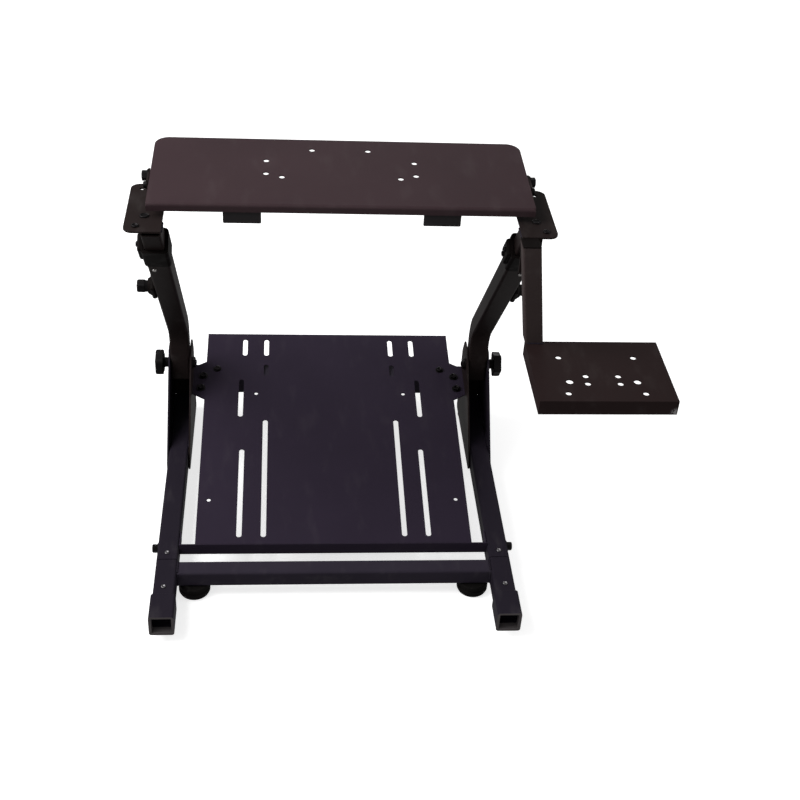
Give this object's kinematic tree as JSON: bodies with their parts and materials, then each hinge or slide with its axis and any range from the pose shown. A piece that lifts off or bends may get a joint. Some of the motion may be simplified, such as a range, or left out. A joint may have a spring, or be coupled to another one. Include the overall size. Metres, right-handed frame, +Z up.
{
  "type": "racing wheel stand",
  "caption": "Folding square-tube stand that holds a racing wheel on a tilting top plate, pedals on a slotted sloping plate and a shifter on a side plate.",
  "frame": {"origin": "on the floor, at the middle of the stand's bounding box", "axes": "+X to the driver's right, +Y away from the driver, +Z up from the floor"},
  "size_m": [0.814, 0.6796, 0.664],
  "materials": {
    "frame_coat": "black powder coat, semi-gloss",
    "deck_coat": "black powder coat, satin",
    "pedal_coat": "black powder coat, satin",
    "shifter_coat": "black powder coat, satin",
    "rubber": "black rubber, matt",
    "knob_plastic": "moulded black plastic",
    "collar_plastic": "moulded black plastic"
  },
  "bodies": {
    "base": {"front_crossbar": "frame_coat", "rear_crossbar": "frame_coat", "pedal_plate": "pedal_coat", "pedal_front_strip": "frame_coat", "left_rail": "frame_coat", "left_foot_sleeve": "frame_coat", "left_front_pad": "rubber", "left_rear_pad": "rubber", "left_outer_gusset": "frame_coat", "left_inner_gusset": "frame_coat", "left_gusset_web": "frame_coat", "right_rail": "frame_coat", "right_foot_sleeve": "frame_coat", "right_front_pad": "rubber", "right_rear_pad": "rubber", "right_outer_gusset": "frame_coat", "right_inner_gusset": "frame_coat", "right_gusset_web": "frame_coat"},
    "uprights": {"left_arm": "frame_coat", "left_arm_collar": "collar_plastic", "right_arm": "frame_coat", "right_arm_collar": "collar_plastic"},
    "head": {"left_post": "frame_coat", "left_head_bracket": "frame_coat", "right_post": "frame_coat", "right_head_bracket": "frame_coat", "shifter_hanger": "frame_coat", "shifter_post": "frame_coat", "shifter_plate": "shifter_coat"},
    "wheel_deck": {"wheel_plate": "deck_coat", "left_front_tab": "deck_coat", "right_front_tab": "deck_coat"},
    "left_fold_knob": {"left_fold_knob": "knob_plastic"},
    "left_height_knob": {"left_height_knob": "knob_plastic"},
    "right_fold_knob": {"right_fold_knob": "knob_plastic"},
    "right_height_knob": {"right_height_knob": "knob_plastic"}
  },
  "joints": [
    {"name": "arm_fold", "type": "hinge", "parent": "base", "child": "uprights", "pos_m": [-0.08, 0.21317, 0.158], "axis": [1, 0, 0], "range_deg": [0, 38]},
    {"name": "post_height", "type": "slide", "parent": "uprights", "child": "head", "axis": [0, -0.6455, 0.7638], "range_m": [-0.015, 0.1]},
    {"name": "deck_tilt", "type": "hinge", "parent": "head", "child": "wheel_deck", "pos_m": [-0.08, 0.00517, 0.648], "axis": [1, 0, 0], "range_deg": [-15, 3]},
    {"name": "left_fold_knob_turn", "type": "hinge", "parent": "base", "child": "left_fold_knob", "pos_m": [-0.3575, 0.21317, 0.158], "axis": [-1, 0, 0], "continuous": true},
    {"name": "left_height_knob_turn", "type": "hinge", "parent": "uprights", "child": "left_height_knob", "pos_m": [-0.3575, 0.05826, 0.41981], "axis": [-1, 0, 0], "continuous": true},
    {"name": "right_fold_knob_turn", "type": "hinge", "parent": "base", "child": "right_fold_knob", "pos_m": [0.1975, 0.21317, 0.158], "axis": [1, 0, 0], "continuous": true},
    {"name": "right_height_knob_turn", "type": "hinge", "parent": "uprights", "child": "right_height_knob", "pos_m": [0.1975, 0.05826, 0.41981], "axis": [1, 0, 0], "continuous": true}
  ]
}
